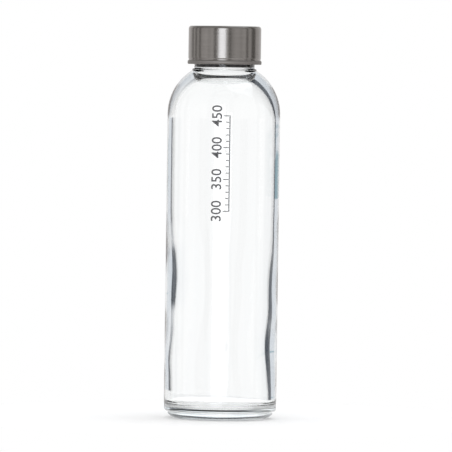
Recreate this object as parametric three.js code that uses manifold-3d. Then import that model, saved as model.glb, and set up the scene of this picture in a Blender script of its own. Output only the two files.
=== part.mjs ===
// Half-litre glass water bottle with a screw cap.
//
// Four pieces: the glass body with its threaded neck, and a cap made of a drawn steel
// shell, a moulded insert that carries the thread, and a sealing ring under its roof.
//
// Millimetres, +Z up. The origin is the centre of the plane that the bottle stands on,
// and the bottle's axis is Z.

import * as THREE from "three";
import { mergeVertices } from "three/addons/utils/BufferGeometryUtils.js";
import Module from "manifold-3d";

const wasm = await Module();
wasm.setup();

// ---- driving dimensions ----

// clearances
const SEAT_GAP = 0.3;
const THREAD_CLEARANCE = 0.4;

// glass body
const BODY_RADIUS = 32.5;
const WALL = 2.9;
const LOWER_WALL = 4.1;
const THICKENING_Z = 105;
const LIP_Z = 221.6;
const HEEL_RADIUS = 1.4;
const HEEL_STEP = 0.9;
const FOOT_ARC = 7.8;
const FOOT_RUN = 5.8;
const FOOT_HEIGHT = 4.2;
const BEARING_WIDTH = 3;
const PUSH_UP = 3.8;
const BASE_THICKNESS = 4.4;
const FLOOR_CORNER = 5;
const FLOOR_DIP = 2;

// shoulder: how far its tangent point and its arc lie below the lip, outside and inside
const SHOULDER_DROP = 46;
const SHOULDER_ARC = 29.6;
const INNER_SHOULDER_DROP = 49.6;
const INNER_SHOULDER_ARC = 27.4;
const THROAT_ARC = 2.4;

// neck finish
const NECK_RADIUS = 17.35;
const NECK_WALL = 3.15;
const LEDGE_WIDTH = 1.2;
const LEDGE_HEIGHT = 1;
const LIP_OUTER_ROUND = 0.9;
const LIP_INNER_ROUND = 0.7;

// thread
const THREAD_LEAD = 4.233;
const THREAD_DEPTH = 1.2;
const THREAD_ROOT_WIDTH = 2.1;
const THREAD_CREST_WIDTH = 1;
const THREAD_TOP_DROP = 3.2;
const GLASS_TURNS = 1.75;
const INSERT_TURNS = 1.5;
const INSERT_THREAD_RISE = 3.9;
const RUN_OUT_TURNS = 0.07;
const ROOT_BURY = 0.6;

// cap
const CAP_HEIGHT = 22;
const SHELL_THICKNESS = 0.5;
const EDGE_RADIAL = 1.4;
const EDGE_AXIAL = 1.8;
const BEAD_HEIGHT = 2.2;
const BEAD_BULGE = 0.4;
const GROOVE_DEPTH = 0.2;
const GROOVE_HEIGHT = 1.2;
const INSERT_WALL = 1.2;
const INSERT_ROOF = 1.6;
const INSERT_LIP_WALL = 0.7;
const GASKET_THICKNESS = 1.6;
const GASKET_OVERHANG = 0.6;
const GASKET_CHAMFER = 0.25;
const SNAP_GRIP = 0.5;
const SNAP_HEIGHT = 0.9;

// facets
const ROUND = 48;

// ---- sizes that follow from them ----

const mouthRadius = NECK_RADIUS - NECK_WALL;
const threadRadius = NECK_RADIUS + THREAD_DEPTH;
const insertBore = threadRadius + THREAD_CLEARANCE;
const insertOuter = insertBore + INSERT_WALL;
const shellInner = insertOuter + SEAT_GAP;
const shellOuter = shellInner + SHELL_THICKNESS;
const insertLip = insertBore + INSERT_LIP_WALL;
const shellCurl = insertLip + SEAT_GAP;
const gasketOuter = insertBore - SEAT_GAP;
const gasketInner = mouthRadius - GASKET_OVERHANG;

const gasketBottom = LIP_Z + SEAT_GAP;
const gasketTop = gasketBottom + GASKET_THICKNESS;
const roofZ = gasketTop + SEAT_GAP;
const insertTop = roofZ + INSERT_ROOF;
const capTop = insertTop + SEAT_GAP + SHELL_THICKNESS;
const capBottom = capTop - CAP_HEIGHT;
const insertBottom = capBottom + SHELL_THICKNESS + SEAT_GAP;

// The glass ridge starts at the foot of its helix. The insert's helix runs half a lead below
// it, and its ridge starts at the first facet that lies high enough above the insert's edge.
const glassHelixZ = LIP_Z - THREAD_TOP_DROP - GLASS_TURNS * THREAD_LEAD;
const insertHelixZ = glassHelixZ - THREAD_LEAD / 2;
const insertRidgeTurns = (insertBottom + INSERT_THREAD_RISE - insertHelixZ) / THREAD_LEAD;
const insertStartTurn = Math.ceil(insertRidgeTurns * ROUND) / ROUND;

// ---- outlines, as (radius, height) ----

const at = (radius, z) => new THREE.Vector2(radius, z);

// points of an elliptical arc about (radius, z), from one angle to another in degrees
function arc(radius, z, radial, axial, fromDegrees, toDegrees, steps) {
  const points = [];
  for (let i = 0; i <= steps; i += 1) {
    const angle = THREE.MathUtils.degToRad(fromDegrees + ((toDegrees - fromDegrees) * i) / steps);
    points.push(at(radius + radial * Math.cos(angle), z + axial * Math.sin(angle)));
  }
  return points;
}

const roundArc = (radius, z, size, ...sweep) => arc(radius, z, size, size, ...sweep);

// a shallow dome on the axis: its arc from the axis out to an edge that lies lower
function dome(topZ, edgeRadius, edgeZ, steps) {
  const rise = topZ - edgeZ;
  const radius = (edgeRadius ** 2 + rise ** 2) / (2 * rise);
  const halfAngle = THREE.MathUtils.radToDeg(Math.asin(edgeRadius / radius));
  const points = roundArc(0, topZ - radius, radius, 90, 90 - halfAngle, steps);
  points[0].x = 0;
  return points;
}

const degreesWhereArcReaches = (centre, radial, radius) =>
  THREE.MathUtils.radToDeg(Math.acos((radius - centre) / radial));

function glassOutline() {
  const footRadius = BODY_RADIUS - HEEL_RADIUS - HEEL_STEP;
  const bearingOuter = footRadius - FOOT_RUN;
  const footEnd = THREE.MathUtils.radToDeg(Math.asin(FOOT_RUN / FOOT_ARC));
  const heelZ = FOOT_HEIGHT + HEEL_RADIUS;

  const ledgeRadius = NECK_RADIUS + LEDGE_WIDTH;
  const shoulderZ = LIP_Z - SHOULDER_DROP;
  const shoulderCentre = BODY_RADIUS - SHOULDER_ARC;
  const shoulderEnd = degreesWhereArcReaches(shoulderCentre, SHOULDER_ARC, ledgeRadius);
  const shoulder = roundArc(shoulderCentre, shoulderZ, SHOULDER_ARC, 0, shoulderEnd, 9);
  const ledgeZ = shoulder.at(-1).y + LEDGE_HEIGHT;

  // from a height on the wall down to the floor's corner, the wall grows thicker
  const innerRadius = BODY_RADIUS - WALL;
  const lowerRadius = BODY_RADIUS - LOWER_WALL;
  const innerShoulderZ = LIP_Z - INNER_SHOULDER_DROP;
  const innerCentre = innerRadius - INNER_SHOULDER_ARC;
  const throatCentre = mouthRadius + THROAT_ARC;
  // the throat arc curves the other way and meets the inner shoulder where both slope alike
  const meetCos = (throatCentre - innerCentre) / (INNER_SHOULDER_ARC + THROAT_ARC);
  const meet = THREE.MathUtils.radToDeg(Math.acos(meetCos));
  const throatZ = innerShoulderZ + (INNER_SHOULDER_ARC + THROAT_ARC) * Math.sin(Math.acos(meetCos));

  const floorTop = PUSH_UP + BASE_THICKNESS;
  const floorEdge = lowerRadius - FLOOR_CORNER;
  const floorLow = floorTop - FLOOR_DIP;
  const floorDome = dome(floorTop, floorEdge, floorLow, 4);

  return [
    ...dome(PUSH_UP, bearingOuter - BEARING_WIDTH, 0, 4),
    ...roundArc(bearingOuter, FOOT_ARC, FOOT_ARC, -90, footEnd - 90, 4),
    at(footRadius, FOOT_HEIGHT),
    ...roundArc(BODY_RADIUS - HEEL_RADIUS, heelZ, HEEL_RADIUS, -90, 0, 3),
    ...shoulder,
    at(ledgeRadius, ledgeZ - LEDGE_HEIGHT / 3),
    at(ledgeRadius - LEDGE_WIDTH / 3, ledgeZ),
    at(NECK_RADIUS, ledgeZ),
    ...roundArc(NECK_RADIUS - LIP_OUTER_ROUND, LIP_Z - LIP_OUTER_ROUND, LIP_OUTER_ROUND, 0, 90, 2),
    ...roundArc(mouthRadius + LIP_INNER_ROUND, LIP_Z - LIP_INNER_ROUND, LIP_INNER_ROUND, 90, 180, 2),
    ...roundArc(throatCentre, throatZ, THROAT_ARC, 180, 180 + meet, 3),
    ...roundArc(innerCentre, innerShoulderZ, INNER_SHOULDER_ARC, meet, 0, 8).slice(1),
    at(innerRadius, THICKENING_Z),
    ...roundArc(floorEdge, floorLow + FLOOR_CORNER, FLOOR_CORNER, 0, -90, 4).slice(0, -1),
    ...floorDome.reverse(),
  ];
}

function shellOutline() {
  const beadRadius = shellOuter + BEAD_BULGE;
  const beadTop = capBottom + BEAD_HEIGHT;
  const grooveTop = beadTop + GROOVE_HEIGHT;
  const edge = (radius, topZ, from, to) =>
    arc(radius - EDGE_RADIAL, topZ - EDGE_AXIAL, EDGE_RADIAL, EDGE_AXIAL, from, to, 4);
  const bead = (radius, from, to) =>
    arc(radius - BEAD_BULGE, (capBottom + beadTop) / 2, BEAD_BULGE, BEAD_HEIGHT / 2, from, to, 4);

  return [
    at(0, capTop - SHELL_THICKNESS),
    ...edge(shellInner, capTop - SHELL_THICKNESS, 90, 0),
    ...bead(beadRadius - SHELL_THICKNESS, 90, 0).slice(0, -1),
    at(beadRadius - SHELL_THICKNESS, capBottom + SHELL_THICKNESS),
    at(shellCurl, capBottom + SHELL_THICKNESS),
    at(shellCurl, capBottom),
    ...bead(beadRadius, -90, 60),
    at(shellOuter - GROOVE_DEPTH, beadTop),
    at(shellOuter - GROOVE_DEPTH, grooveTop - GROOVE_DEPTH),
    at(shellOuter, grooveTop),
    ...edge(shellOuter, capTop, 0, 90),
    at(0, capTop),
  ];
}

function insertOutline() {
  const flangeRadius = insertOuter + BEAD_BULGE;
  const flangeTop = capBottom + BEAD_HEIGHT / 2;
  const snapTop = gasketBottom - SEAT_GAP;
  const snapRadius = gasketOuter - SNAP_GRIP;

  return [
    at(0, roofZ),
    at(insertBore, roofZ),
    at(insertBore, snapTop),
    at(snapRadius, snapTop - SNAP_HEIGHT / 3),
    at(snapRadius, snapTop - SNAP_HEIGHT / 2),
    at(insertBore, snapTop - SNAP_HEIGHT),
    // the thin lip that closes the gap inside the shell's curled edge, then the flange over it
    at(insertBore, capBottom + INSERT_LIP_WALL / 2),
    at(insertBore + INSERT_LIP_WALL / 2, capBottom),
    at(insertLip, capBottom),
    at(insertLip, insertBottom),
    at(flangeRadius, insertBottom),
    at(flangeRadius, flangeTop),
    at(insertOuter, flangeTop + BEAD_BULGE),
    ...arc(insertOuter - EDGE_RADIAL, insertTop - EDGE_AXIAL, EDGE_RADIAL, EDGE_AXIAL, 0, 90, 4),
    at(0, insertTop),
  ];
}

function gasketOutline() {
  return [
    at(gasketInner, gasketBottom + GASKET_CHAMFER),
    at(gasketInner + GASKET_CHAMFER, gasketBottom),
    at(gasketOuter - GASKET_CHAMFER, gasketBottom),
    at(gasketOuter, gasketBottom + GASKET_CHAMFER),
    at(gasketOuter, gasketTop - GASKET_CHAMFER),
    at(gasketOuter - GASKET_CHAMFER, gasketTop),
    at(gasketInner + GASKET_CHAMFER, gasketTop),
    at(gasketInner, gasketTop - GASKET_CHAMFER),
    at(gasketInner, gasketBottom + GASKET_CHAMFER),
  ];
}

// ---- solids ----

// keeps only the positions, with the shared corners merged
function weld(geometry) {
  const plain = geometry.index ? geometry.toNonIndexed() : geometry;
  plain.deleteAttribute("normal");
  plain.deleteAttribute("uv");
  return mergeVertices(plain, 1e-5);
}

// turns an outline about Z; LatheGeometry itself turns about Y
function turned(outline) {
  return new THREE.LatheGeometry(outline, ROUND).rotateX(Math.PI / 2);
}

// One thread ridge. A straight bar with the thread's section, its radial side along X, is
// wrapped into a right-hand helix. At both ends the crest sinks into the wall.
function threadRidge({ rootRadius, inwards, turns, startTurn, helixZ }) {
  const side = inwards ? -1 : 1;
  const slope = (THREAD_ROOT_WIDTH - THREAD_CREST_WIDTH) / THREAD_DEPTH;
  const buriedWidth = THREAD_ROOT_WIDTH + slope * ROOT_BURY;
  const section = new THREE.Shape([
    at(-ROOT_BURY * side, -buriedWidth / 2),
    at(THREAD_DEPTH * side, -THREAD_CREST_WIDTH / 2),
    at(THREAD_DEPTH * side, THREAD_CREST_WIDTH / 2),
    at(-ROOT_BURY * side, buriedWidth / 2),
  ]);
  const steps = Math.round(turns * ROUND);
  const bar = new THREE.ExtrudeGeometry(section, { depth: 1, steps, bevelEnabled: false });
  const position = bar.getAttribute("position");
  for (let i = 0; i < position.count; i += 1) {
    const turn = position.getZ(i) * turns;
    const fromEnd = Math.min(turn, turns - turn);
    const height = THREE.MathUtils.smoothstep(fromEnd, 0, RUN_OUT_TURNS);
    const isCrest = position.getX(i) * side > 0;
    const crest = THREE.MathUtils.lerp(-ROOT_BURY / 2, THREAD_DEPTH, height);
    const radius = rootRadius + side * (isCrest ? crest : -ROOT_BURY);
    // the ridge's sections fall between the wall's own edges
    const angle = (startTurn + turn + 0.5 / ROUND) * 2 * Math.PI;
    // the width runs down the axis, which keeps the bar right side out
    const z = helixZ - position.getY(i) + (startTurn + turn) * THREAD_LEAD;
    position.setXYZ(i, radius * Math.cos(angle), radius * Math.sin(angle), z);
  }
  return bar;
}

function toManifold(geometry) {
  const welded = weld(geometry);
  return new wasm.Manifold(
    new wasm.Mesh({
      numProp: 3,
      vertProperties: new Float32Array(welded.getAttribute("position").array),
      triVerts: new Uint32Array(welded.index.array),
    }),
  );
}

function joined(geometryA, geometryB) {
  const mesh = toManifold(geometryA).add(toManifold(geometryB)).getMesh();
  const geometry = new THREE.BufferGeometry();
  geometry.setAttribute("position", new THREE.BufferAttribute(mesh.vertProperties, mesh.numProp));
  geometry.setIndex(new THREE.BufferAttribute(mesh.triVerts, 1));
  return geometry;
}

function piece(name, geometry, look) {
  const mesh = new THREE.Mesh(geometry, new THREE.MeshStandardMaterial(look));
  mesh.name = name;
  return mesh;
}

// ---- the pieces ----

function glassBottle() {
  const ridge = threadRidge({
    rootRadius: NECK_RADIUS,
    inwards: false,
    turns: GLASS_TURNS,
    startTurn: 0,
    helixZ: glassHelixZ,
  });
  const look = { color: 0xe6efee, roughness: 0.05, metalness: 0, transparent: true, opacity: 0.35 };
  return piece("glass_bottle", joined(turned(glassOutline()), ridge), look);
}

function capShell() {
  const look = { color: 0x8c8783, roughness: 0.32, metalness: 1 };
  return piece("cap_shell", turned(shellOutline()), look);
}

function capInsert() {
  const ridge = threadRidge({
    rootRadius: insertBore,
    inwards: true,
    turns: INSERT_TURNS,
    startTurn: insertStartTurn,
    helixZ: insertHelixZ,
  });
  const look = { color: 0x3a3a3c, roughness: 0.6, metalness: 0 };
  return piece("cap_insert", joined(turned(insertOutline()), ridge), look);
}

function capGasket() {
  const look = { color: 0xd9dcdd, roughness: 0.7, metalness: 0 };
  return piece("cap_gasket", turned(gasketOutline()), look);
}

const bottle = new THREE.Group();
bottle.name = "water_bottle";
const cap = new THREE.Group();
cap.name = "cap";
cap.add(capShell(), capInsert(), capGasket());
bottle.add(glassBottle(), cap);

export default bottle;
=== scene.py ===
import math

import bmesh
import bpy
import numpy as np
from mathutils import Matrix, Vector


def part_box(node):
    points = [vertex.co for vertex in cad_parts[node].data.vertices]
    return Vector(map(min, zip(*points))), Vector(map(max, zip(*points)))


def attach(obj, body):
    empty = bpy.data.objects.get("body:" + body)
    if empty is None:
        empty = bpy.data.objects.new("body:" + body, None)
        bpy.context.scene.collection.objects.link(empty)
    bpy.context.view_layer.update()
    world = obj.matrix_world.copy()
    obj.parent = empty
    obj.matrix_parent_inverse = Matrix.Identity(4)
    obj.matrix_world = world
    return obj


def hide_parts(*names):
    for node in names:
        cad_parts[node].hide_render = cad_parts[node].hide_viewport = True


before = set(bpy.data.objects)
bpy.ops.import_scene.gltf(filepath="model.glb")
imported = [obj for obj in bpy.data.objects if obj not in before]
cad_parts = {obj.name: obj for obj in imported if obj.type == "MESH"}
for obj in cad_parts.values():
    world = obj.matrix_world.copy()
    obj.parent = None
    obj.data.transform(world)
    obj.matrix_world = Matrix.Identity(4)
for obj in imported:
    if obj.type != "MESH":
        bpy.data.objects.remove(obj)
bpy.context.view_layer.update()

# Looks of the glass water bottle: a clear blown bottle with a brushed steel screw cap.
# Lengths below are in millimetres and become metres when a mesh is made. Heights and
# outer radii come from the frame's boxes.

MM = 0.001


def box_mm(node):
    low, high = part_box(node)
    return low / MM, high / MM


# ---- sizes ----

glass_low, glass_high = box_mm("glass_bottle")
shell_low, shell_high = box_mm("cap_shell")
insert_low, insert_high = box_mm("cap_insert")
gasket_low, gasket_high = box_mm("cap_gasket")

BODY_RADIUS = glass_high.x
LIP_Z = glass_high.z
INK_DEPTH = 0.05  # the glass is drawn this much slimmer, so that the ink stays in the box

WALL = 2.9
LOWER_WALL = 4.1
THICKENING_Z = 105
HEEL_RADIUS = 1.4
HEEL_STEP = 0.9
STEP_FILLET = 0.35
FOOT_ARC = 7.8
FOOT_RUN = 5.8
FOOT_HEIGHT = 4.2
BEARING_WIDTH = 3
PUSH_UP = 3.8
BASE_THICKNESS = 4.4
FLOOR_CORNER = 5
FLOOR_DIP = 2
SHOULDER_DROP = 46
SHOULDER_ARC = 29.6
INNER_SHOULDER_DROP = 49.6
INNER_SHOULDER_ARC = 27.4
THROAT_ARC = 2.4
NECK_RADIUS = 17.35
MOUTH_RADIUS = 14.2
LEDGE_WIDTH = 1.2
LEDGE_HEIGHT = 1
LEDGE_ROUND = 0.6
LEDGE_FILLET = 0.3
NECK_FILLET = 0.5
LIP_OUTER_ROUND = 0.9
LIP_INNER_ROUND = 0.7
NECK_RELIEF = 0.7  # how much wider the blown neck is inside, below its pressed finish
RELIEF_HIGH = LIP_Z - 15.6
RELIEF_LOW = LIP_Z - 20
KNURLS = 96
KNURL_DEPTH = 0.3
KNURL_TOP = 3.4

THREAD_LEAD = 4.233
THREAD_DEPTH = 1.2
THREAD_ROOT_WIDTH = 2.1
THREAD_CREST_WIDTH = 1
THREAD_TOP_DROP = 3.2
THREAD_CLEARANCE = 0.4
GLASS_TURNS = 1.75
INSERT_TURNS = 1.5
INSERT_THREAD_RISE = 3.9
RUN_OUT_TURNS = 0.07
CAD_FACETS = 48

SHELL_THICKNESS = 0.5
BEAD_HEIGHT = 2.2
BEAD_BULGE = 0.4
SHELL_RADIUS = shell_high.x - BEAD_BULGE
EDGE_RADIAL = 1.4
EDGE_AXIAL = 1.8
CURL_ROUND = 0.25
BEAD_CORNER = 0.2
GROOVE_DEPTH = 0.2
GROOVE_HEIGHT = 1.2
GROOVE_FILLET = 0.12
GROOVE_ROUND = 0.3
INSERT_WALL = 1.2
INSERT_ROOF = 1.6
INSERT_LIP_WALL = 0.7
SNAP_GRIP = 0.5
SNAP_HEIGHT = 0.9
INSERT_CORNER = 0.2
ROOF_FILLET = 0.4
THREAD_LEAD_IN = 0.35
SEAT_GAP = 0.3
GASKET_CORNER = 0.3
GASKET_MARGIN = 0.6  # how far the ring reaches in past the mouth, and where its track starts
GASKET_TRACK = 0.12  # how deep the lip has pressed its track into the ring
TRACK_SLOPE = 0.3

GLASS_SEGMENTS = KNURLS * 4
CAP_SEGMENTS = 160


# ---- outlines, as (radius, height), and the surfaces turned from them ----


def arc(radius, z, radial, axial, start, end, steps):
    angles = np.radians(np.linspace(start, end, steps + 1))
    return [(radius + radial * math.cos(a), z + axial * math.sin(a)) for a in angles]


def round_arc(radius, z, size, start, end, steps):
    return arc(radius, z, size, size, start, end, steps)


def dome(top_z, edge_radius, edge_z, steps):
    """A shallow dome on the axis, from the axis out to its lower edge."""
    rise = top_z - edge_z
    size = (edge_radius**2 + rise**2) / (2 * rise)
    half_angle = math.degrees(math.asin(edge_radius / size))
    points = round_arc(0, top_z - size, size, 90, 90 - half_angle, steps)
    return [(0, top_z), *points[1:]]


def finely(points, step):
    """The same outline, with no stretch longer than step."""
    out = [points[0]]
    for a, b in zip(points, points[1:]):
        pieces = max(1, math.ceil(math.dist(a, b) / step))
        for i in range(1, pieces + 1):
            out.append((a[0] + (b[0] - a[0]) * i / pieces, a[1] + (b[1] - a[1]) * i / pieces))
    return out


def smoothstep(x):
    x = np.clip(x, 0, 1)
    return x * x * (3 - 2 * x)


def new_object(name, vertices_mm, faces):
    mesh = bpy.data.meshes.new(name)
    mesh.from_pydata((np.asarray(vertices_mm) * MM).tolist(), [], faces)
    mesh.update()
    made = bpy.data.objects.new(name, mesh)
    bpy.context.scene.collection.objects.link(made)
    return made


def turned(name, outline, segments, shape=None):
    """A closed surface of revolution. shape(radius, z, angle) may move its points."""
    loop = outline[0] == outline[-1]
    rows = np.array(outline[:-1] if loop else outline[1:-1], float)
    angle = np.linspace(0, 2 * math.pi, segments, endpoint=False)[None, :]
    radius = np.repeat(rows[:, :1], segments, 1)
    z = np.repeat(rows[:, 1:], segments, 1)
    if shape:
        radius, z = shape(radius, z, angle)
    points = np.stack([radius * np.cos(angle), radius * np.sin(angle), z], -1).reshape(-1, 3)
    count = len(rows)
    faces = []
    for i in range(count if loop else count - 1):
        low, high = i * segments, (i + 1) % count * segments
        for j in range(segments):
            k = (j + 1) % segments
            faces.append((low + j, low + k, high + k, high + j))
    if not loop:
        first, last = len(points), len(points) + 1
        points = np.vstack([points, [0, 0, outline[0][1]], [0, 0, outline[-1][1]]])
        top = (count - 1) * segments
        for j in range(segments):
            k = (j + 1) % segments
            faces.append((first, k, j))
            faces.append((last, top + j, top + k))
    return new_object(name, points, faces)


def smooth(made, degrees):
    made.data.shade_smooth()
    made.data.set_sharp_from_angle(angle=math.radians(degrees))
    return made


def thread_height(z, angle, helix_z, start_turn, turns):
    """How far a right-hand thread ridge stands out of its wall."""
    flank_width = (THREAD_ROOT_WIDTH - THREAD_CREST_WIDTH) / 2
    offset = (0.5 + start_turn * CAD_FACETS) / CAD_FACETS
    turn = ((angle / (2 * math.pi)) - offset) % 1 + np.zeros_like(z)
    height = np.zeros_like(z)
    for whole in range(math.ceil(turns) + 1):
        along = turn + whole
        centre = helix_z + (start_turn + along) * THREAD_LEAD
        flank = (THREAD_ROOT_WIDTH / 2 - np.abs(z - centre)) / flank_width
        inside = smoothstep(np.minimum(along, turns - along) / RUN_OUT_TURNS)
        height = np.maximum(height, smoothstep(flank) * inside)
    return height * THREAD_DEPTH


# ---- the glass ----

glass_helix_z = LIP_Z - THREAD_TOP_DROP - GLASS_TURNS * THREAD_LEAD
skin_radius = BODY_RADIUS - INK_DEPTH
foot_radius = skin_radius - HEEL_RADIUS - HEEL_STEP
bearing_outer = foot_radius - FOOT_RUN
inner_radius = BODY_RADIUS - WALL
lower_radius = BODY_RADIUS - LOWER_WALL
floor_top = PUSH_UP + BASE_THICKNESS
floor_low = floor_top - FLOOR_DIP
floor_edge = lower_radius - FLOOR_CORNER
throat_centre = MOUTH_RADIUS + NECK_RELIEF + THROAT_ARC


def outer_glass():
    """From the middle of the underside up to the top of the lip."""
    foot_end = math.degrees(math.asin(FOOT_RUN / FOOT_ARC))
    heel_z = FOOT_HEIGHT + HEEL_RADIUS
    ledge_radius = NECK_RADIUS + LEDGE_WIDTH
    centre = skin_radius - SHOULDER_ARC
    shoulder_z = LIP_Z - SHOULDER_DROP
    end = math.degrees(math.acos((ledge_radius - centre) / SHOULDER_ARC))
    shoulder = round_arc(centre, shoulder_z, SHOULDER_ARC, 0, end, 36)
    ledge_top = shoulder[-1][1] + LEDGE_HEIGHT
    ledge_low = shoulder[-1][1] + LEDGE_FILLET / 2
    ledge_edge = ledge_radius - LEDGE_ROUND
    neck_low = ledge_top + NECK_FILLET
    thread_low = glass_helix_z - 1.5
    lip_edge = LIP_Z - LIP_OUTER_ROUND
    lip_radius = NECK_RADIUS - LIP_OUTER_ROUND
    return [
        *dome(PUSH_UP, bearing_outer - BEARING_WIDTH, 0, 24),
        *finely([(bearing_outer - BEARING_WIDTH, 0), (bearing_outer, 0)], 0.8)[1:],
        *round_arc(bearing_outer, FOOT_ARC, FOOT_ARC, -90, foot_end - 90, 14)[1:],
        *round_arc(foot_radius + STEP_FILLET, FOOT_HEIGHT - STEP_FILLET, STEP_FILLET, 180, 90, 3),
        *round_arc(skin_radius - HEEL_RADIUS, heel_z, HEEL_RADIUS, -90, 0, 7),
        *finely([(skin_radius, heel_z), (skin_radius, shoulder_z)], 2.5)[1:-1],
        *shoulder[:-1],
        *round_arc(ledge_radius + LEDGE_FILLET, ledge_low, LEDGE_FILLET, 240, 180, 2),
        *round_arc(ledge_edge, ledge_top - LEDGE_ROUND, LEDGE_ROUND, 0, 90, 5),
        *round_arc(NECK_RADIUS + NECK_FILLET, neck_low, NECK_FILLET, 270, 180, 4),
        *finely([(NECK_RADIUS, neck_low), (NECK_RADIUS, thread_low)], 1)[1:],
        *finely([(NECK_RADIUS, thread_low), (NECK_RADIUS, lip_edge)], 0.2)[1:],
        *round_arc(lip_radius, lip_edge, LIP_OUTER_ROUND, 0, 90, 6)[1:],
    ]


def inner_glass():
    """From the top of the lip down to the middle of the floor."""
    centre = inner_radius - INNER_SHOULDER_ARC
    shoulder_z = LIP_Z - INNER_SHOULDER_DROP
    span = INNER_SHOULDER_ARC + THROAT_ARC
    meet_cos = (throat_centre - centre) / span
    meet = math.degrees(math.acos(meet_cos))
    throat_z = shoulder_z + span * math.sin(math.acos(meet_cos))
    corner_z = floor_low + FLOOR_CORNER
    lip_edge = LIP_Z - LIP_INNER_ROUND
    lip_radius = MOUTH_RADIUS + LIP_INNER_ROUND
    wall = [(inner_radius, shoulder_z), (inner_radius, THICKENING_Z), (lower_radius, corner_z)]
    relief = []
    for rise in np.linspace(1, 0, 14):
        z = RELIEF_LOW + rise * (RELIEF_HIGH - RELIEF_LOW)
        relief.append((MOUTH_RADIUS + NECK_RELIEF * (1 - float(smoothstep(rise))), z))
    return [
        *round_arc(lip_radius, lip_edge, LIP_INNER_ROUND, 90, 180, 5),
        *finely([(MOUTH_RADIUS, lip_edge), (MOUTH_RADIUS, RELIEF_HIGH)], 1.5)[1:-1],
        *relief,
        *round_arc(throat_centre, throat_z, THROAT_ARC, 180, 180 + meet, 8),
        *round_arc(centre, shoulder_z, INNER_SHOULDER_ARC, meet, 0, 36)[1:],
        *finely(wall, 2)[1:],
        *round_arc(floor_edge, corner_z, FLOOR_CORNER, 0, -90, 16)[1:-1],
        *reversed(dome(floor_top, floor_edge, floor_low, 20)),
    ]


outer_outline = outer_glass()
inner_outline = inner_glass()


# The blown wall is uneven: (height, extra thickness) up two opposite sides
LEFT_SWELLS = [(10, -0.3), (32, -0.5), (72, 2.2), (92, 2), (120, 0), (165, 0)]
RIGHT_SWELLS = [(10, 0.3), (40, 2.2), (62, 1.5), (124, 0), (165, 0)]
RIPPLE = 0.12
RIPPLE_LENGTH = 37


def eased(z, points):
    """A curve through the points, level at each of them."""
    value = np.full_like(z, float(points[0][1]))
    for (z_a, a), (z_b, b) in zip(points, points[1:]):
        value = np.where(z > z_a, a + (b - a) * smoothstep((z - z_a) / (z_b - z_a)), value)
    return value


def uneven_wall(z, angle):
    """How much thicker than its outline the blown wall is."""
    right = smoothstep(np.cos(angle))
    left = smoothstep(-np.cos(angle))
    ripple = RIPPLE * np.sin(2 * math.pi * z / RIPPLE_LENGTH + 2 * angle)
    ripple = ripple * smoothstep((z - 20) / 20) * smoothstep((130 - z) / 30)
    return right * eased(z, RIGHT_SWELLS) + left * eased(z, LEFT_SWELLS) + ripple


def shape_glass(radius, z, angle):
    outer_rows = len(outer_outline) - 1
    row = np.arange(len(radius))[:, None]
    outside = row < outer_rows

    # pressed ribs on the bearing ring and the foot
    on_ring = smoothstep((radius - (bearing_outer - BEARING_WIDTH)) / 1.2)
    on_ring = on_ring * smoothstep((KNURL_TOP - z) / 0.8)
    groove = (0.5 - 0.5 * np.cos(KNURLS * angle)) * on_ring * KNURL_DEPTH
    outwards = smoothstep((radius - bearing_outer) / 3)
    z = z + np.where(outside, groove * (1 - 0.6 * outwards), 0)
    radius = radius - np.where(outside & (radius > 1), groove * outwards, 0)

    ridge = thread_height(z, angle, glass_helix_z, 0, GLASS_TURNS)
    on_neck = outside & (np.abs(radius - NECK_RADIUS) < 0.01) & (z > glass_helix_z - 2)
    radius = radius + np.where(on_neck, ridge, 0)

    inside = ~outside & (radius > 1)
    radius = radius - np.where(inside, uneven_wall(z, angle), 0)
    return radius, z


bottle_glass = turned(
    "bottle_glass", outer_outline + inner_outline, GLASS_SEGMENTS, shape_glass
)
smooth(bottle_glass, 50)


# ---- the cap ----

insert_bore = NECK_RADIUS + THREAD_DEPTH + THREAD_CLEARANCE
insert_outer = insert_bore + INSERT_WALL
insert_lip = insert_bore + INSERT_LIP_WALL


def shell_outline():
    bottom, top = shell_low.z, shell_high.z
    inner = SHELL_RADIUS - SHELL_THICKNESS
    bead_top = bottom + BEAD_HEIGHT
    groove_top = bead_top + GROOVE_HEIGHT
    curl_radius = insert_lip + SEAT_GAP
    bend = CURL_ROUND
    middle = (bottom + bead_top) / 2
    roof = top - SHELL_THICKNESS
    groove = SHELL_RADIUS - GROOVE_DEPTH
    fillet = GROOVE_FILLET
    in_bead = inner + BEAD_BULGE
    sheet_top = bottom + SHELL_THICKNESS
    wall_low = (SHELL_RADIUS, groove_top + GROOVE_ROUND)
    wall_high = (SHELL_RADIUS, top - EDGE_AXIAL - 0.2)
    return [
        (0, roof),
        *arc(inner - EDGE_RADIAL, roof - EDGE_AXIAL, EDGE_RADIAL, EDGE_AXIAL, 90, 0, 10),
        (inner, bead_top + 0.2),
        *arc(inner, middle, BEAD_BULGE, BEAD_HEIGHT / 2, 80, 0, 6),
        (in_bead, sheet_top + BEAD_CORNER),
        (in_bead - BEAD_CORNER, sheet_top),
        *round_arc(curl_radius + bend, bottom + bend, bend, 90, 270, 8),
        *arc(SHELL_RADIUS, middle, BEAD_BULGE, BEAD_HEIGHT / 2, -90, 70, 14),
        *round_arc(groove + fillet, bead_top + fillet, fillet, 250, 180, 3),
        (groove, groove_top - GROOVE_ROUND),
        *round_arc(SHELL_RADIUS - GROOVE_ROUND, groove_top + fillet, GROOVE_ROUND, -45, 0, 3),
        *finely([wall_low, wall_high], 2),
        *arc(SHELL_RADIUS - EDGE_RADIAL, top - EDGE_AXIAL, EDGE_RADIAL, EDGE_AXIAL, 0, 90, 18),
        *finely([(SHELL_RADIUS - EDGE_RADIAL, top), (0.5, top)], 2)[1:],
        (0, top),
    ]


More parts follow.
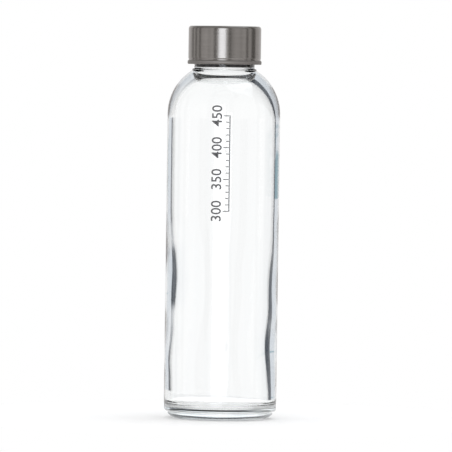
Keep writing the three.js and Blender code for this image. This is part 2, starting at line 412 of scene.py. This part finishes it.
flange_bottom = shell_low.z + SHELL_THICKNESS + SEAT_GAP
insert_helix_z = glass_helix_z - THREAD_LEAD / 2
ridge_turns = (flange_bottom + INSERT_THREAD_RISE - insert_helix_z) / THREAD_LEAD
insert_start_turn = math.ceil(ridge_turns * CAD_FACETS - 1e-6) / CAD_FACETS


def insert_outline():
    bottom, top = insert_low.z, insert_high.z
    roof = top - INSERT_ROOF
    snap_top = gasket_low.z - SEAT_GAP
    snap_radius = gasket_high.x - SNAP_GRIP
    snap_middle = snap_top - SNAP_HEIGHT / 2
    flange = insert_outer + BEAD_BULGE
    flange_edge = flange - INSERT_CORNER
    flange_top = bottom + BEAD_HEIGHT / 2
    lip_edge = insert_lip - INSERT_CORNER
    snap_bottom = snap_top - SNAP_HEIGHT - 0.1
    roof_edge = insert_bore - ROOF_FILLET
    lead_in = THREAD_LEAD_IN
    return [
        (0, roof),
        *finely([(0.5, roof), (roof_edge, roof)], 2),
        *round_arc(roof_edge, roof - ROOF_FILLET, ROOF_FILLET, 90, 0, 4)[1:],
        (insert_bore, snap_top),
        *arc(insert_bore, snap_middle, insert_bore - snap_radius, SNAP_HEIGHT / 2, 100, 260, 10),
        *finely([(insert_bore, snap_bottom), (insert_bore, bottom + 0.5)], 0.2),
        *round_arc(insert_bore + lead_in, bottom + lead_in, lead_in, 180, 270, 5)[1:],
        *round_arc(lip_edge, bottom + INSERT_CORNER, INSERT_CORNER, 270, 360, 4),
        (insert_lip, flange_bottom),
        *round_arc(flange_edge, flange_bottom + INSERT_CORNER, INSERT_CORNER, 270, 360, 4),
        (flange, flange_top),
        (insert_outer, flange_top + BEAD_BULGE),
        *finely([(insert_outer, flange_top + 0.8), (insert_outer, top - EDGE_AXIAL)], 3),
        *arc(insert_outer - EDGE_RADIAL, top - EDGE_AXIAL, EDGE_RADIAL, EDGE_AXIAL, 0, 90, 10)[1:],
        (0, top),
    ]


def shape_insert(radius, z, angle):
    ridge = thread_height(z, angle, insert_helix_z, insert_start_turn, INSERT_TURNS)
    on_bore = (np.abs(radius - insert_bore) < 0.01) & (z < gasket_low.z - SEAT_GAP - SNAP_HEIGHT)
    return radius - np.where(on_bore, ridge, 0), z


def gasket_outline():
    low, high = gasket_low.z, gasket_high.z
    outer = gasket_high.x
    inner = MOUTH_RADIUS - GASKET_MARGIN
    track_inner = MOUTH_RADIUS + GASKET_MARGIN
    track_outer = NECK_RADIUS - GASKET_MARGIN
    corner = GASKET_CORNER
    return [
        *round_arc(inner + corner, low + corner, corner, 180, 270, 5),
        (track_inner, low),
        (track_inner + TRACK_SLOPE, low + GASKET_TRACK),
        (track_outer - TRACK_SLOPE, low + GASKET_TRACK),
        (track_outer, low),
        *round_arc(outer - corner, low + corner, corner, 270, 360, 5),
        *round_arc(outer - corner, high - corner, corner, 0, 90, 5),
        *round_arc(inner + corner, high - corner, corner, 90, 180, 5),
        (inner, low + corner),
    ]


cap_steel = smooth(turned("cap_steel", shell_outline(), CAP_SEGMENTS), 60)
cap_liner = smooth(turned("cap_liner", insert_outline(), CAP_SEGMENTS, shape_insert), 50)
sealing_ring = smooth(turned("sealing_ring", gasket_outline(), CAP_SEGMENTS), 60)


# ---- the printed fill scale: plain ticks and numbers at true levels ----

INK_THICKNESS = 0.03
INK_LIFT = 0.005
SCALE_AZIMUTH = math.radians(-92.3)
RULE_AT = 4.6
RULE_WIDTH = 0.6
TICK_WIDTH = 0.5
TICK_GAP = 0.15
LONG_TICK = 3.2
SHORT_TICK = 1.6
NUMBER_SIZE = 8.2
NUMBER_AT = -2.2
NUMBER_BOLD = 0.07
FIRST_ML, LAST_ML = 300, 450
STEP_ML, NUMBERED_ML = 10, 50
BEND_REACH = 6  # the ink is cut into strips this far to each side, so that it can bend
BEND_STRIP = 0.6


def fill_levels(volumes_ml):
    """The heights at which the bottle holds these volumes."""
    profile = np.array(inner_outline[::-1])
    radius, z = profile[:, 0], profile[:, 1]
    slices = np.pi * (radius[1:] ** 2 + radius[:-1] ** 2) / 2 * np.diff(z)
    held = np.concatenate([[0], np.cumsum(slices)]) / 1000
    return np.interp(volumes_ml, held, z)


def bar(mesh, across, up, width, height):
    """A flat box of ink: its corner at (across, up) on the unrolled wall."""
    right, top = across + width, up + height
    corners = [(across, up), (right, up), (right, top), (across, top)]
    back = [mesh.verts.new((x, y, 0)) for x, y in corners]
    face = [mesh.verts.new((x, y, INK_THICKNESS)) for x, y in corners]
    mesh.faces.new(back[::-1])
    mesh.faces.new(face)
    for i in range(4):
        k = (i + 1) % 4
        mesh.faces.new((back[i], back[k], face[k], face[i]))


def number_mesh(text):
    """A number's solid, lying along X about the origin."""
    curve = bpy.data.curves.new("number", "FONT")
    curve.body = text
    curve.size = NUMBER_SIZE
    curve.align_x = "CENTER"
    curve.align_y = "CENTER"
    curve.extrude = INK_THICKNESS / 2
    curve.offset = NUMBER_BOLD
    curve.resolution_u = 4
    holder = bpy.data.objects.new("number", curve)
    bpy.context.scene.collection.objects.link(holder)
    bpy.context.view_layer.update()
    made = bpy.data.meshes.new_from_object(holder)
    bpy.data.objects.remove(holder)
    bpy.data.curves.remove(curve)
    return made


def printed_scale():
    ink = bmesh.new()
    levels = {}
    for volume in range(FIRST_ML, LAST_ML + 1, STEP_ML):
        levels[volume] = float(fill_levels(volume))
    low, high = levels[FIRST_ML], levels[LAST_ML]
    bar(ink, RULE_AT, low - TICK_WIDTH / 2, RULE_WIDTH, high - low + TICK_WIDTH)
    for volume, level in levels.items():
        numbered = volume % NUMBERED_ML == 0
        length = LONG_TICK if numbered else SHORT_TICK
        bar(ink, RULE_AT - length - TICK_GAP, level - TICK_WIDTH / 2, length, TICK_WIDTH)
        if numbered:
            number = number_mesh(str(volume))
            first = len(ink.verts)
            ink.from_mesh(number)
            ink.verts.ensure_lookup_table()
            for vertex in ink.verts[first:]:
                x, y, depth = vertex.co
                vertex.co = (NUMBER_AT - y, level + x, depth + INK_THICKNESS / 2)
            bpy.data.meshes.remove(number)
    bmesh.ops.remove_doubles(ink, verts=ink.verts, dist=1e-5)
    for cut in np.arange(-BEND_REACH, BEND_REACH, BEND_STRIP):
        place = (cut + 0.013, 0, 0)
        everything = ink.verts[:] + ink.edges[:] + ink.faces[:]
        bmesh.ops.bisect_plane(ink, geom=everything, plane_co=place, plane_no=(1, 0, 0))
    for vertex in ink.verts:
        across, up, depth = vertex.co
        angle = SCALE_AZIMUTH + across / BODY_RADIUS
        radius = skin_radius + INK_LIFT + depth
        vertex.co = (radius * math.cos(angle) * MM, radius * math.sin(angle) * MM, up * MM)
    bmesh.ops.recalc_face_normals(ink, faces=ink.faces)
    mesh = bpy.data.meshes.new("fill_scale")
    ink.to_mesh(mesh)
    ink.free()
    made = bpy.data.objects.new("fill_scale", mesh)
    bpy.context.scene.collection.objects.link(made)
    return made


fill_scale = printed_scale()


# ---- materials ----


class Nodes:
    """Short calls for building one material or world."""

    def __init__(self, tree):
        self.tree = tree
        tree.nodes.clear()

    def add(self, kind, values=None, **settings):
        node = self.tree.nodes.new(kind)
        for key, value in settings.items():
            setattr(node, key, value)
        for key, value in (values or {}).items():
            self.set(node.inputs[key], value)
        return node

    def set(self, socket, value):
        if isinstance(value, bpy.types.NodeSocket):
            self.tree.links.new(value, socket)
        else:
            socket.default_value = value

    def math(self, operation, *values, clamp=False):
        node = self.add("ShaderNodeMath", operation=operation, use_clamp=clamp)
        for socket, value in zip(node.inputs, values):
            self.set(socket, value)
        return node.outputs[0]

    def blend(self, factor, a, b):
        node = self.add("ShaderNodeMix", data_type="RGBA", clamp_factor=True)
        self.set(node.inputs[0], factor)
        self.set(node.inputs[6], a)
        self.set(node.inputs[7], b)
        return node.outputs[2]

    def between(self, value, low, high):
        node = self.add("ShaderNodeMapRange", {"Value": value, "To Min": low, "To Max": high})
        return node.outputs[0]

    def edge(self, value, start, end):
        """0 up to start and 1 from end on, or the other way round if start is larger."""
        values = {"Value": value, "From Min": start, "From Max": end}
        return self.add("ShaderNodeMapRange", values, interpolation_type="SMOOTHSTEP").outputs[0]

    def ramp(self, value, start, end):
        """The same for a value in radians, with start and end in degrees."""
        return self.edge(value, math.radians(start), math.radians(end))

    def noise(self, vector, scale, detail=3.0, roughness=0.5):
        values = {"Vector": vector, "Scale": scale, "Detail": detail, "Roughness": roughness}
        return self.add("ShaderNodeTexNoise", values).outputs["Fac"]


def material(name, colour):
    made = bpy.data.materials.new(name)
    made.use_nodes = True
    made.diffuse_color = (*colour, 1)
    nodes = Nodes(made.node_tree)
    shader = nodes.add("ShaderNodeBsdfPrincipled", {"Base Color": (*colour, 1)})
    output = nodes.add("ShaderNodeOutputMaterial", {"Surface": shader.outputs[0]})
    return made, nodes, shader, output


def object_place(nodes):
    return nodes.add("ShaderNodeTexCoord").outputs["Object"]


def around_axis(nodes, along, out, up):
    """A vector that changes slowly round the axis and fast across it, for lathe marks."""
    place = nodes.add("ShaderNodeSeparateXYZ", {"Vector": object_place(nodes)})
    x, y, z = place.outputs
    angle = nodes.math("ARCTAN2", y, x)
    squares = nodes.math("ADD", nodes.math("MULTIPLY", x, x), nodes.math("MULTIPLY", y, y))
    radius = nodes.math("SQRT", squares)
    return nodes.add(
        "ShaderNodeCombineXYZ",
        {
            "X": nodes.math("MULTIPLY", angle, along),
            "Y": nodes.math("MULTIPLY", radius, out),
            "Z": nodes.math("MULTIPLY", z, up),
        },
    ).outputs[0]


def bump(nodes, shader, height, strength, distance):
    values = {"Strength": strength, "Distance": distance, "Height": height}
    nodes.set(shader.inputs["Normal"], nodes.add("ShaderNodeBump", values).outputs[0])


def clear_glass():
    made, nodes, shader, output = material("clear_glass", (0.997, 0.999, 0.999))
    shader.inputs["Transmission Weight"].default_value = 1
    shader.inputs["IOR"].default_value = 1.5
    place = object_place(nodes)
    # soft waves of the blown wall, and a little dullness where the base rubs on tables
    waves = nodes.noise(place, 45, 1.5)
    bump(nodes, shader, waves, 0.04, 0.0012)
    height = nodes.add("ShaderNodeSeparateXYZ", {"Vector": place}).outputs[2]
    near_foot = nodes.math("SUBTRACT", 1, nodes.math("DIVIDE", height, 0.0035), clamp=True)
    scuffs = nodes.math("MULTIPLY", nodes.noise(place, 900, 4), near_foot)
    rough = nodes.math("ADD", 0.004, nodes.math("MULTIPLY", scuffs, 0.3))
    nodes.set(shader.inputs["Roughness"], rough)
    tint = nodes.add("ShaderNodeVolumeAbsorption", {"Color": (0.72, 0.9, 0.93, 1), "Density": 4.0})
    nodes.set(output.inputs["Volume"], tint.outputs[0])
    return made


def brushed_steel():
    made, nodes, shader, output = material("brushed_cap_steel", (0.30, 0.285, 0.272))
    shader.inputs["Metallic"].default_value = 1
    shader.inputs["Anisotropic"].default_value = 0.93
    tangent = nodes.add("ShaderNodeTangent", direction_type="RADIAL", axis="Z")
    nodes.set(shader.inputs["Tangent"], tangent.outputs[0])
    lines = nodes.noise(around_axis(nodes, 0.8, 9000, 9000), 1, 4, 0.65)
    broad = nodes.noise(around_axis(nodes, 1.5, 700, 700), 1, 2)
    fine = nodes.math("MULTIPLY", lines, 0.7)
    grain = nodes.math("ADD", fine, nodes.math("MULTIPLY", broad, 0.3))
    shade = nodes.between(grain, -0.3, 1.3)
    colour = nodes.blend(shade, (0.25, 0.237, 0.226, 1), (0.35, 0.335, 0.32, 1))
    nodes.set(shader.inputs["Base Color"], colour)
    height = nodes.add("ShaderNodeSeparateXYZ", {"Vector": object_place(nodes)}).outputs[2]
    bead_top = (shell_low.z + BEAD_HEIGHT) * MM
    # the bead is duller than the brushed wall
    dull = nodes.math("MULTIPLY", nodes.math("LESS_THAN", height, bead_top), 0.25)
    rough = nodes.math("ADD", nodes.between(grain, 0.08, 0.17), dull)
    nodes.set(shader.inputs["Roughness"], rough)
    bump(nodes, shader, lines, 0.06, 0.00002)
    return made


def moulded_plastic():
    made, nodes, shader, output = material("insert_plastic", (0.05, 0.05, 0.052))
    place = object_place(nodes)
    grain = nodes.noise(place, 2600, 3)
    cloud = nodes.noise(place, 90, 2)
    colour = nodes.blend(cloud, (0.042, 0.042, 0.044, 1), (0.062, 0.062, 0.064, 1))
    nodes.set(shader.inputs["Base Color"], colour)
    nodes.set(shader.inputs["Roughness"], nodes.between(grain, 0.45, 0.62))
    bump(nodes, shader, grain, 0.25, 0.00008)
    return made


def soft_silicone():
    made, nodes, shader, output = material("gasket_silicone", (0.72, 0.73, 0.74))
    place = object_place(nodes)
    cloud = nodes.noise(place, 160, 3)
    colour = nodes.blend(cloud, (0.66, 0.675, 0.685, 1), (0.78, 0.785, 0.79, 1))
    nodes.set(shader.inputs["Base Color"], colour)
    nodes.set(shader.inputs["Roughness"], nodes.between(cloud, 0.42, 0.6))
    shader.inputs["Subsurface Weight"].default_value = 0.15
    shader.inputs["Subsurface Scale"].default_value = 0.002
    bump(nodes, shader, nodes.noise(place, 1800, 2), 0.15, 0.00005)
    return made


def grey_ink():
    made, nodes, shader, output = material("scale_ink", (0.12, 0.12, 0.125))
    place = object_place(nodes)
    mottle = nodes.noise(place, 2200, 3)
    colour = nodes.blend(mottle, (0.085, 0.085, 0.09, 1), (0.12, 0.12, 0.125, 1))
    nodes.set(shader.inputs["Base Color"], colour)
    nodes.set(shader.inputs["Roughness"], nodes.between(mottle, 0.5, 0.75))
    bump(nodes, shader, mottle, 0.2, 0.00002)
    return made


PIECES = [
    (bottle_glass, clear_glass(), "bottle", "clear_glass", "glass_bottle"),
    (cap_steel, brushed_steel(), "cap", "brushed_cap_steel", "cap_shell"),
    (cap_liner, moulded_plastic(), "cap", "insert_plastic", "cap_insert"),
    (sealing_ring, soft_silicone(), "seal", "gasket_silicone", "cap_gasket"),
    (fill_scale, grey_ink(), "bottle", None, None),
]
for made, look, body, slot, node in PIECES:
    made.data.materials.append(look)
    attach(made, body)
    if slot:
        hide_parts(node)


# ---- floor, surroundings, lamps and camera ----

CAMERA_DISTANCE = 3.2
EYE_HEIGHT = 0.2
AIM = (0.0021, 0.111)
VIEW_WIDTH = 0.2607
ROLL_DEGREES = 0.78
LAMP_COLOUR = (0.88, 0.93, 1)

WHITE = (1, 1, 1, 1)
FLOOR_RADIUS = 0.16
# the azimuth about which the teal card stands, and the only cards above eye level
CARDS_TOWARDS = 60
PALE_CARD = (0.66, 0.7, 0.75, 1)
DARK_CARD = (0.045, 0.055, 0.07, 1)
TEAL_CARD = (0.16, 0.3, 0.36, 1)
# what the metal mirrors: (degrees to the right of the way to the camera, half width)
DARK_STRIPES = [(-122, 4), (-104, 4), (-86, 4), (-30, 5), (16, 5), (76, 4), (104, 10)]
STRIPES_END = 130
STRIPE = (0.2, 0.19, 0.18, 1)
METAL_SURROUND = (0.81, 0.79, 0.785, 1)
METAL_ABOVE = (0.5, 0.495, 0.485, 1)


def background_lift(nodes, place):
    """What lifts the floor to white: most for the camera, a little in glass and metal.

    Under and round the bottle it stands for the light that the glass gathers there.
    """
    path = nodes.add("ShaderNodeLightPath").outputs
    mirrored = nodes.math("ADD", path["Is Glossy Ray"], path["Is Transmission Ray"], clamp=True)
    distance = nodes.add("ShaderNodeVectorMath", {0: place}, operation="LENGTH").outputs["Value"]
    gathered = nodes.math("MULTIPLY", nodes.edge(distance, 0.12, 0.03), 0.45)
    lift = nodes.math("MULTIPLY", mirrored, nodes.math("ADD", gathered, 0.02))
    return nodes.math("ADD", lift, nodes.math("MULTIPLY", path["Is Camera Ray"], 0.17))


def floor():
    around = np.linspace(0, 2 * math.pi, 64, endpoint=False)
    rim = np.stack([np.cos(around), np.sin(around), 0 * around], -1) * FLOOR_RADIUS
    made = new_object("floor", rim / MM, [tuple(range(len(rim)))])
    look, nodes, shader, output = material("floor", (0.85, 0.85, 0.85))
    place = object_place(nodes)
    nodes.set(shader.inputs["Roughness"], nodes.between(nodes.noise(place, 60, 3), 0.7, 0.9))
    shader.inputs["Specular IOR Level"].default_value = 0.1
    shader.inputs["Emission Color"].default_value = (1, 1, 1, 1)
    nodes.set(shader.inputs["Emission Strength"], background_lift(nodes, place))
    made.data.materials.append(look)


def surroundings():
    """White all round, but for cards and stripes.

    Only light that was bounced inside a glass wall can reach the cards, and only the
    metal mirrors the stripes.
    """
    world = bpy.data.worlds.new("studio")
    bpy.context.scene.world = world
    world.use_nodes = True
    nodes = Nodes(world.node_tree)
    direction = nodes.add("ShaderNodeTexCoord").outputs["Generated"]
    x, y, z = nodes.add("ShaderNodeSeparateXYZ", {"Vector": direction}).outputs
    azimuth = nodes.math("ARCTAN2", y, x)

    # the cards, by the angle aside of the nearest main axis: pale, then dark
    nearest = nodes.math("MAXIMUM", nodes.math("ABSOLUTE", x), nodes.math("ABSOLUTE", y))
    aside = nodes.math("ARCCOSINE", nearest)
    turn = nodes.math("SUBTRACT", azimuth, math.radians(CARDS_TOWARDS))
    side = nodes.math("COSINE", turn)
    away = nodes.math("SUBTRACT", 1, nodes.edge(side, 0.4, 0.9))
    none_above = nodes.math("MULTIPLY", nodes.ramp(z, 3, 8), away)
    cards = nodes.ramp(aside, 66, 58)
    cards = nodes.math("MULTIPLY", cards, nodes.math("SUBTRACT", 1, none_above))
    cards = nodes.math("MULTIPLY", cards, nodes.ramp(z, -16, -9))
    pale = nodes.math("MULTIPLY", cards, nodes.ramp(aside, 6, 14))
    dark = nodes.math("MULTIPLY", cards, nodes.ramp(aside, 34.5, 37.5))
    teal = nodes.math("MULTIPLY", nodes.ramp(z, -0.65, -0.8), nodes.ramp(z, -1.55, -1.4))
    teal = nodes.math("MULTIPLY", teal, nodes.math("MULTIPLY", pale, nodes.edge(side, 0.6, 0.8)))

    # the stripes: broken soft ones by noise, and clear ones at set azimuths
    flat = nodes.add("ShaderNodeCombineXYZ", {"X": x, "Y": y}).outputs[0]
    soft = nodes.math("SUBTRACT", nodes.noise(flat, 7, 3, 0.6), 0.4, clamp=True)
    stripes = nodes.math("MULTIPLY", soft, 1.6)
    for centre, half_width in DARK_STRIPES:
        turn = nodes.math("SUBTRACT", azimuth, math.radians(centre - 90))
        turn = nodes.math("ABSOLUTE", nodes.math("WRAP", turn, math.pi, -math.pi))
        stripe = nodes.ramp(turn, half_width * 1.15, half_width * 0.85)
        stripes = nodes.math("MAXIMUM", stripes, stripe)
    turn = nodes.math("WRAP", nodes.math("ADD", azimuth, math.pi / 2), math.pi, -math.pi)
    in_front = nodes.ramp(nodes.math("ABSOLUTE", turn), STRIPES_END + 10, STRIPES_END)
    stripes = nodes.math("MULTIPLY", stripes, in_front)
    level = nodes.ramp(nodes.math("ARCCOSINE", nodes.math("ABSOLUTE", z)), 40, 60)
    stripes = nodes.math("MULTIPLY", stripes, level)
    in_metal = nodes.blend(nodes.ramp(z, 12, 35), METAL_SURROUND, METAL_ABOVE)
    in_metal = nodes.blend(stripes, in_metal, STRIPE)

    path = nodes.add("ShaderNodeLightPath").outputs
    through_glass = nodes.blend(pale, WHITE, PALE_CARD)
    through_glass = nodes.blend(teal, through_glass, TEAL_CARD)
    through_glass = nodes.blend(dark, through_glass, DARK_CARD)
    bounced = nodes.math("LESS_THAN", path["Transmission Depth"], 3)
    through_glass = nodes.blend(bounced, WHITE, through_glass)
    light = nodes.blend(path["Is Glossy Ray"], WHITE, in_metal)
    light = nodes.blend(path["Is Transmission Ray"], light, through_glass)
    light = nodes.blend(path["Is Camera Ray"], light, WHITE)
    back = nodes.add("ShaderNodeBackground", {"Color": light, "Strength": 1.0})
    nodes.add("ShaderNodeOutputWorld", {"Surface": back.outputs[0]})


def lamp(name, place, target, width, height, power):
    data = bpy.data.lights.new(name, "AREA")
    data.shape = "RECTANGLE"
    data.size = width
    data.size_y = height
    data.energy = power
    data.color = LAMP_COLOUR
    made = bpy.data.objects.new(name, data)
    bpy.context.scene.collection.objects.link(made)
    point(made, place, target)


def point(made, place, target, roll=0.0):
    """Puts an object at place, looking at target down its own -Z."""
    place, target = Vector(place), Vector(target)
    turn = (target - place).to_track_quat("-Z", "Y").to_matrix().to_4x4()
    tilt = Matrix.Rotation(math.radians(roll), 4, "Z")
    made.matrix_world = Matrix.Translation(place) @ turn @ tilt


def camera():
    data = bpy.data.cameras.new("camera")
    data.sensor_width = 36
    data.lens = data.sensor_width * CAMERA_DISTANCE / VIEW_WIDTH
    data.clip_end = 50
    made = bpy.data.objects.new("camera", data)
    bpy.context.scene.collection.objects.link(made)
    point(made, (AIM[0], -CAMERA_DISTANCE, EYE_HEIGHT), (AIM[0], 0, AIM[1]), ROLL_DEGREES)
    bpy.context.scene.camera = made


floor()
surroundings()
lamp("strip", (-0.33, -2.35, 0.45), (0, 0, 0.15), 0.95, 1.3, 9)
lamp("top", (0.6, 0.3, 1.9), (0, 0, 0.1), 1.2, 1.2, 4)
camera()
bpy.context.scene.view_settings.view_transform = "Standard"
